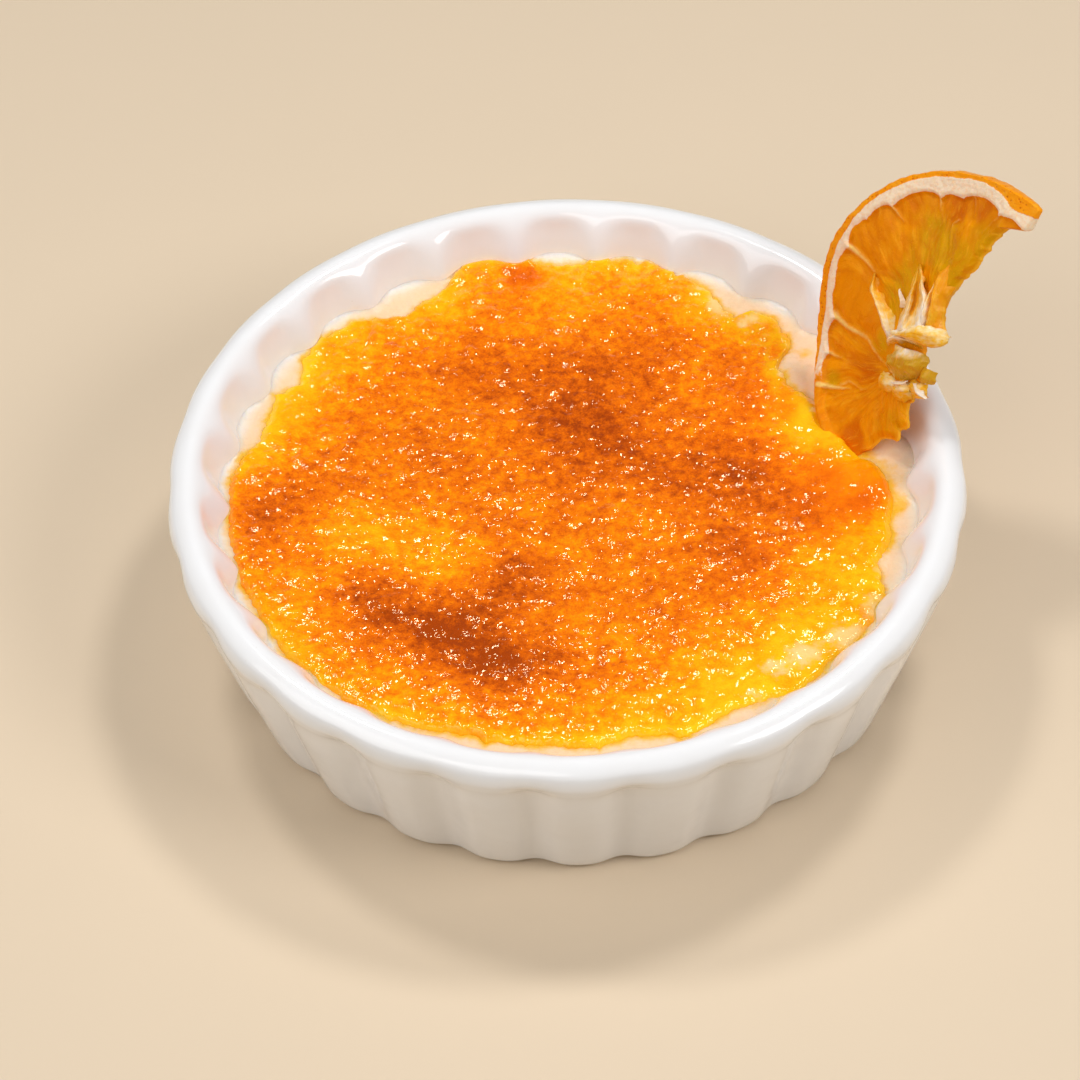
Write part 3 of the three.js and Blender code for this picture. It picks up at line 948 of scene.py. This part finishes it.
def makeSliceBody():
    outline, torn = sliceOutline()
    spine = spineSpot(outline)
    frontShares = np.append((1 - np.linspace(1, 0, orange["frontRings"]) ** 1.15)[1:-1], 1.0)
    backShares = np.append((1 - np.linspace(1, 0, orange["backRings"]) ** 1.2)[1:-1], 0.996)
    rings, looks = [], []
    for side, shares in ((-0.95, backShares), (1.0, frontShares[::-1])):
        for share in shares:
            u, v = (spine + (outline - spine) * share).T
            look = sliceLooks(u, v)
            look["fan"] = fanOut(u, v)
            half = sliceThickness(u, v, share, torn, look, look["fan"])
            rings.append(sliceToDish(u, v, sliceWarp(u, v) + side * half))
            # painted glow of light shining through the thin torn edge
            look["glow"] = 0.7 * torn * fadeIn(share, 0.93, 1.0)
            looks.append(look)
    faces = bandFaces(len(rings), len(outline))
    middle = zipShut(spine[:, 0])
    last = (len(rings) - 1) * len(outline)
    faces += [(a, c, b) for a, b, c in middle] + [(last + a, last + b, last + c) for a, b, c in middle]
    piece = makePiece("driedOrangeSlice", np.vstack(rings), faces, driedOrange())
    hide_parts("orange_slice")
    for name in ("peel", "pith", "membrane", "golden", "deep", "glow"):
        paint(piece, name, np.concatenate([look[name] for look in looks]))
    paint(piece, "fan", np.vstack([look["fan"] for look in looks]))


makeSliceBody()
print("orange slice made")


core = {
    "amberColour": (0.91, 0.33, 0.0),
    "yellowColour": (0.98, 0.50, 0.02),
    "peachColour": (1.0, 0.70, 0.30),
    "paleColour": (1.0, 0.84, 0.66),
    # painted shade: the olive tint darkens the lower, tucked-in sheets of the core where shade falls
    "oliveShadeColour": (0.66, 0.37, 0.015),
    "rows": 40,
    "usual": {"thick": 0.3, "oliveShade": 0, "lumps": 0},  # unless the sheet says otherwise
    "sheets": {  # lines in up, across and outward, and how pale each is from start to end
        "leftFlap": {"lines": [
            [(-6.3, 8.4, 0.7), (-5.3, 10.1, 0.7), (-4.2, 12, 0.7), (-2.9, 14.4, 0.7),
             (-1.8, 16.6, 0.8), (0.8, 17.2, 0.8)],
            [(-5.4, 7.4, 1.8), (-4.1, 8.8, 2.5), (-3, 10.6, 2.6), (-1.9, 13.1, 2.4),
             (-0.9, 15.6, 2), (1.2, 16.8, 1.2)],
            [(-4.8, 7.5, 1.7), (-3.3, 8.6, 1.9), (-2.2, 10.5, 1.7), (-1.4, 13.1, 1.3),
             (-0.6, 15.4, 1.1), (1.1, 16.8, 1)],
            [(-4.3, 7.7, 0.8), (-2.6, 8.1, 0.8), (-1.5, 9.4, 0.7), (-0.8, 11.6, 0.7), (0, 14.6, 0.7),
             (1.1, 16.9, 0.8)]],
         "pale": [(0.6, 0.35, 0.1), (0.95, 0.7, 0.3), (0.9, 0.3, 0), (0.7, 0.2, 0)]},
        "peak": {"thick": 0.34, "lines": [
            [(-3.7, 7.8, 1), (-2.1, 8.1, 1), (-0.4, 8.5, 1), (1, 8.9, 0.9), (3, 9.3, 0.9),
             (5.4, 9.9, 0.9), (7.5, 9.8, 1.2)],
            [(-2.3, 5.8, 3.2), (-0.4, 5.8, 3.4), (1.2, 6.1, 3.2), (2.7, 6.7, 3), (4.5, 7.5, 2.8),
             (6.4, 8.3, 2.6), (8.1, 9.1, 2.2)],
            [(-1, 4.4, 3.2), (0.3, 5.3, 2.6), (1.5, 5.9, 2), (2.7, 6.4, 1.7), (4.4, 7, 1.8),
             (6.2, 7.7, 2.2), (8.1, 9.1, 2.2)],
            [(0.9, 2.6, 3.4), (2.7, 3.5, 3.2), (4.1, 4.2, 3.1), (5.4, 5.1, 3), (6.5, 6.3, 2.9),
             (7.4, 7.4, 2.7), (8.1, 9, 2.2)],
            [(0.7, 3.3, 1), (2.7, 4.1, 1), (4.1, 4.8, 1), (5, 5.8, 1), (5.9, 7.5, 1),
             (7, 8.7, 1), (7.7, 9.6, 1.2)]],
         "pale": [(0.6, 0.4, 0.1), (0.95, 0.7, 0.3), (0.7, 0, 0.3), (1, 0.9, 0.4), (0.8, 0.4, 0.1)]},
        "sidePeak": {"lines": [
            [(1, 3.9, 1.2), (3.4, 4.6, 1.2), (5.6, 5.2, 1.2), (7.4, 5.8, 0.9)],
            [(1, 2.8, 3), (3.4, 3.5, 3.2), (5.6, 4.4, 2.6), (7.8, 5.4, 1.2)],
            [(1.2, 2.2, 1.4), (3.2, 2.8, 1.4), (5.4, 4, 1.2), (7.6, 5.1, 0.9)]],
         "pale": [(0.8, 0.6, 0.3), (1, 0.85, 0.4), (0.7, 0.4, 0.2)]},
        "amberPetal": {"thick": 0.35, "lines": [
            [(0.4, 3.6, 1), (2.2, 4, 0.9), (4.5, 4.9, 0.8), (6.4, 5.8, 0.7), (8.7, 6.2, 0.7),
             (11, 5, 0.8)],
            [(1, 1.9, 2.6), (3.4, 2.3, 2.8), (5.6, 3.4, 2.6), (7.2, 4.5, 2.2), (9.1, 5.1, 1.6),
             (11, 4.9, 1)],
            [(1.7, 0.7, 2.2), (3.6, 1.3, 1.9), (5.2, 2.4, 1.6), (6.8, 3, 1.4), (9.1, 3.9, 1.2),
             (11, 4.8, 0.9)],
            [(2.2, -0.5, 1), (3.8, 0.9, 0.8), (5.7, 2, 0.6), (7.3, 2, 0.6), (9.3, 2.7, 0.6),
             (11, 4.6, 0.8)]],
         "pale": [(0.3, 0.1, 0), (0.4, 0.2, 0), (0, 0, 0), (0.3, 0.1, 0)]},
        "skirt": {"thick": 0.4, "lines": [
            [(-3.2, 7.6, 2.6), (-1.6, 5.6, 3), (0, 4.2, 3.3), (1.3, 2.7, 3.2), (2.1, 0.8, 2.6),
             (2.6, -0.7, 2), (2.4, -1.8, 1.4)],
            [(-3.4, 6.8, 3.2), (-1.9, 4.7, 3.8), (-0.3, 2.8, 4.2), (0.6, 1, 4.2), (1.5, -0.6, 3.8),
             (1.9, -1.4, 3), (2.3, -2, 2)],
            [(-3.2, 6, 3), (-2.3, 4.2, 3.5), (-1.7, 2.5, 3.7), (-1.1, 0.5, 3.5), (-0.6, -0.8, 3.1),
             (0.4, -1.9, 2.7), (1.4, -2.2, 2)],
            [(-3.3, 6.4, 2), (-2.2, 4.8, 2.2), (-1.6, 3.2, 2.2), (-1, 1.4, 2), (-0.5, 0.1, 1.9),
             (0.4, -0.9, 1.8), (1.3, -1.5, 1.5)]],
         "pale": [(0.95, 0.7, 0.6), (0.6, 0.4, 0.65), (0.8, 0.3, 0.5), (0.5, 0.2, 0.3)]},
        "ledge": {"thick": 0.35, "lines": [
            [(-4.9, 8.2, 1), (-3.2, 6.6, 1.3), (-2.6, 5, 1.5), (-1.9, 3.4, 1.4), (-1.7, 2, 1.1)],
            [(-5.4, 7.9, 1.9), (-3.8, 6.4, 2.5), (-3.1, 4.9, 2.6), (-2.4, 3.4, 2.4), (-2.1, 1.8, 1.8)],
            [(-6.2, 7.6, 1), (-4.6, 6.3, 1.2), (-3.8, 5, 1.2), (-3, 3.5, 1.1), (-2.6, 2, 0.8)]],
         "pale": [(0.8, 0.7, 0.4), (0.95, 0.8, 0.5), (0.4, 0.3, 0.2)]},
        "lump": {"thick": 0.5, "oliveShade": 0.9, "lumps": 0.5, "lines": [
            [(-5.2, 6.8, 0.7), (-7.2, 6.9, 0.8), (-9, 6.8, 0.8), (-10.2, 5.4, 0.7)],
            [(-4.6, 5.2, 2.1), (-6.6, 5.3, 2.4), (-8.4, 5.1, 2.3), (-9.8, 4, 1.3)],
            [(-3.6, 3.1, 2.6), (-5.4, 3.1, 2.9), (-7.4, 3.1, 2.5), (-9.4, 2.8, 1.4)],
            [(-3, 1.2, 2), (-4.4, 0.7, 2.3), (-6.4, 0.9, 2.1), (-8.6, 1.6, 1.3)],
            [(-3, 0.3, 0.7), (-4.2, -0.2, 0.8), (-6.2, -0.1, 0.8), (-8.3, 0.8, 0.6)]],
         "pale": [(0.6, 0.5, 0.6), (0.7, 0.4, 0.75), (0.95, 0.35, 0.3), (0.7, 0.25, 0.1), (0.2, 0.1, 0.1)]},
        "shadedFlap": {"thick": 0.4, "oliveShade": 0.8, "lumps": 0.3, "lines": [
            [(-4.9, 0.3, 1), (-6, 0.2, 1.1), (-7.4, -0.2, 0.9)],
            [(-4.3, -1.5, 2.1), (-5.6, -1.7, 2.2), (-7, -1.8, 1.6)],
            [(-4.2, -2.8, 1.4), (-5.3, -3.2, 1.3), (-6.6, -3, 0.9)]],
         "pale": [(0.1, 0.1, 0.1), (0.3, 0.3, 0.2), (0.4, 0.3, 0.2)]},
        "shard": {"lines": [
            [(-8.2, 0.2, 1.2), (-8.9, -1.6, 1.8), (-8.6, -3.7, 2.1)],
            [(-7.9, -0.2, 2), (-8.4, -1.8, 2.5), (-8.5, -3.8, 2.2)],
            [(-7.5, -0.6, 1.2), (-7.9, -2, 1.7), (-8.4, -3.8, 2)]],
         "pale": [(1, 1, 0.9), (1, 1, 1), (0.8, 0.8, 0.8)]},
        "paleScrap": {"lines": [
            [(-10.2, 3.9, 1), (-9.3, 2.7, 1.6), (-8.6, 1.2, 1.6)],
            [(-10.6, 3.7, 1.8), (-9.8, 2.3, 2.4), (-8.8, 1, 2.1)],
            [(-11, 3.4, 1), (-10.3, 2, 1.4), (-9.1, 0.9, 1.4)]],
         "pale": [(0.8, 0.9, 0.9), (0.95, 0.95, 0.95), (0.7, 0.7, 0.7)]},
        "leftFringe": {"oliveShade": 0.15, "lines": [
            [(-10.7, 6.8, 0.8), (-9.9, 5.2, 1.1), (-9.5, 3.6, 1.1)],
            [(-12, 6.3, 1.4), (-11.2, 4.5, 2), (-10.6, 3, 1.8)],
            [(-13.4, 5.2, 0.7), (-12.7, 3.7, 0.9), (-11.8, 2.4, 0.9)]],
         "pale": [(0.4, 0.5, 0.5), (0.4, 0.6, 0.6), (0.1, 0.2, 0.2)]},
        "midFringe": {"oliveShade": 0.15, "lines": [
            [(-9.6, 3.9, 0.9), (-8.9, 2.1, 1.2), (-8.2, 0.8, 1.1)],
            [(-11.2, 3.2, 1.5), (-10.1, 1.5, 2.3), (-9.3, 0, 1.9)],
            [(-13.2, 2.6, 0.7), (-12.2, 1, 1), (-10.8, -0.9, 1)]],
         "pale": [(0.5, 0.6, 0.5), (0.5, 0.7, 0.5), (0.1, 0.3, 0.3)]},
        "rightFringe": {"oliveShade": 0.3, "lines": [
            [(-8, 1.2, 0.9), (-7.3, -0.5, 1.2), (-6.9, -2.2, 1)],
            [(-9.2, 0.4, 1.6), (-8.5, -1.2, 2.1), (-7.6, -2.9, 1.5)],
            [(-10.8, -0.4, 0.8), (-9.8, -1.8, 1.1), (-8.7, -3.3, 1.1)]],
         "pale": [(0.3, 0.5, 0.4), (0.4, 0.5, 0.4), (0.2, 0.4, 0.5)]},
        "spike": {"thick": 0.25, "lines": [
            [(0.2, 9, 0.9), (1.1, 9.5, 1.3), (2.2, 10.8, 1.8)],
            [(0.3, 8.7, 1.8), (1.4, 9.2, 2.1), (2.2, 10.7, 1.9)],
            [(0.5, 8.3, 1), (1.5, 8.9, 1.4), (2.2, 10.6, 1.8)]],
         "pale": [(1, 1, 1), (1, 1, 1), (1, 1, 1)]},
    },
}


def tornCore():
    material, shader = newMaterial("tornCore")
    strips = grain(1.0, detail=3.0, stretch=(3.2, 0.45, 1.0), vector=painted("fan", "Vector"))
    pale = plus(frayed("pale", strips, 0.5), around(grain(1.1, detail=3.0), 0.9))
    colour = colourRamp(pale, [
        (0.05, core["amberColour"]), (0.40, core["yellowColour"]), (0.65, core["peachColour"]),
        (0.9, core["paleColour"]),
    ])
    # painted shade on the sheets that sit in the core's shadow
    oliveShade = rescale(frayed("oliveShade", grain(1.1), 0.6), 0.2, 0.9, 0.0, 0.85)
    colour = blendColour(oliveShade, colour, core["oliveShadeColour"])
    relief = bumpFrom(grain(0.5, detail=3.0), 0.08, bumpFrom(strips, 0.08))
    connect(shader, colour, rescale(strips, 0.3, 0.7, 0.22, 0.45), relief)
    shine(shader, 0.3)
    letLightIn(shader, 0.15, 0.5, (1.0, 0.8, 0.5))
    return material


def alongLine(values, place):
    # values spread evenly from 0 to 1, read at each place
    return np.interp(place, np.linspace(0, 1, len(values)), values)


def insideOut(points, quads):
    # true when the faces of a closed mesh look inwards
    a, b, c, d = np.moveaxis(points[np.array(quads)], 1, 0)
    return np.sum(np.cross(a, b) * c + np.cross(a, c) * d) < 0


def makeSheet(sheet, seed):
    # a thin torn sheet through a few lines, closed all round
    rows = core["rows"]
    lines = np.array([evenly(curveThrough(line, 8), rows) for line in sheet["lines"]])
    surface = curveThrough(lines.reshape(len(lines), -1), 9).reshape(-1, rows, 3)
    columns = len(surface)
    over, down = np.meshgrid(np.linspace(0, 1, columns), np.linspace(0, 1, rows), indexing="ij")
    wide = over * (len(lines) - 1) * 2.0
    edge = np.abs(over * 2 - 1) ** 4
    u, v = surface[..., 0].copy(), surface[..., 1].copy()
    surface[..., 0] += (0.10 + 0.40 * edge + 0.25 * down ** 6) * layeredNoise(u, v, 1.1, 140 + seed, 3)
    surface[..., 1] += (0.10 + 0.40 * edge) * layeredNoise(u, v, 1.1, 160 + seed, 3)
    surface[..., 2] += (0.30 + sheet["lumps"]) * layeredNoise(u, v, 1.5, 150 + seed, 3)
    surface[..., 2] += 0.10 * layeredNoise(wide * 2.5 + seed, down * 1.6, 1.0, 155 + seed, 2)
    closing = np.sin(math.pi * (0.03 + 0.94 * over)) * np.sin(math.pi * (0.03 + 0.94 * down))
    half = 0.5 * sheet["thick"] * np.sqrt(closing)
    outwards = np.multiply.outer(half, [0, 0, 1])
    points = np.vstack([(surface + outwards).reshape(-1, 3), (surface - outwards).reshape(-1, 3)])
    quads, rim = gridFaces(columns, rows)
    faces = quads.tolist() + (quads[:, ::-1] + columns * rows).tolist()
    for a, b in zip(rim.tolist(), np.roll(rim, -1).tolist()):
        faces.append([b, a, a + columns * rows, b + columns * rows])
    if insideOut(points, faces):
        faces = [face[::-1] for face in faces]
    tones = np.array([alongLine(tone, down[0]) for tone in sheet["pale"]])
    pale = np.array([alongLine(tones[:, row], over[:, 0]) for row in range(rows)]).T
    patchy = pale + 0.2 * layeredNoise(wide, down * 4, 1.0, 170 + seed)
    # painted shade where a sheet is not pale
    oliveShade = sheet["oliveShade"] * (1 - fadeIn(patchy, 0.45, 0.8))
    fan = np.stack([wide + seed * 3.7, down * 6 + seed, np.zeros_like(wide)], -1).reshape(-1, 3)
    return points, faces, np.tile(pale.ravel(), 2), np.tile(oliveShade.ravel(), 2), np.tile(fan, (2, 1))


def makeTornCore():
    parts, faces, start = [], [], 0
    for seed, sheet in enumerate(core["sheets"].values()):
        points, quads, *paints = makeSheet({**core["usual"], **sheet}, seed)
        u, v, w = points.T
        parts.append([sliceToDish(u, v, w + sliceWarp(u, v)), *paints])
        faces += [[start + i for i in quad] for quad in quads]
        start += len(points)
    points, pale, oliveShade, fan = [np.concatenate(values) for values in zip(*parts)]
    piece = makePiece("tornCore", points, faces, tornCore())
    paint(piece, "pale", pale)
    paint(piece, "oliveShade", oliveShade)
    paint(piece, "fan", fan)


makeTornCore()
print("torn core made")


studio = {
    "floor": (0.76, 0.62, 0.455),
    "floorPatch": (0.70, 0.58, 0.43),
    "aimHeight": 25,  # mm, where the lamps point
    "air": (1.0, 0.985, 0.965),
    "airStrength": 0.13,
    "lamps": [  # name, place in mm, size in mm, watts, colour
        ("leftWindow", (-240, 260, 720), 130, 1.45, (1.0, 0.99, 0.98)),
        ("rightWindow", (240, 260, 720), 138, 1.7, (1.0, 0.99, 0.98)),
        ("topLamp", (-150, -400, 600), 300, 0.55, (1.0, 0.99, 0.98)),
        ("leftLamp", (-420, -220, 420), 500, 1.2, (1.0, 0.985, 0.965)),
        ("rightLamp", (430, -220, 480), 280, 1.6, (1.0, 0.99, 0.98)),
    ],
}


def setFloor():
    bpy.ops.mesh.primitive_plane_add(size=6, location=(0, 0, -0.0003))
    floor = bpy.context.object
    floor.name = "floor"
    material, shader = newMaterial("paleFloor")
    tone = rescale(grain(60.0), 0.3, 0.7, 0.0, 0.12)
    wire(blendColour(tone, studio["floor"], studio["floorPatch"]), shader.inputs["Base Color"])
    shader.inputs["Roughness"].default_value = 0.7
    floor.data.materials.append(material)


def setLights():
    world = bpy.data.worlds.new("softAir")
    world.use_nodes = True
    sky = world.node_tree.nodes["Background"]
    sky.inputs["Color"].default_value = (*studio["air"], 1)
    sky.inputs["Strength"].default_value = studio["airStrength"]
    bpy.context.scene.world = world
    for name, place, size, watts, colour in studio["lamps"]:
        lamp = bpy.data.lights.new(name, "AREA")
        lamp.shape = "DISK"
        lamp.size = size * mm
        lamp.energy = watts
        lamp.color = colour
        holder = bpy.data.objects.new(name, lamp)
        holder.location = Vector(place) * mm
        aim = Vector((0, 0, studio["aimHeight"])) * mm - holder.location
        holder.rotation_euler = aim.to_track_quat("-Z", "Y").to_euler()
        bpy.context.scene.collection.objects.link(holder)


setFloor()
setLights()
bpy.context.scene.view_settings.view_transform = "Standard"
print("studio set")
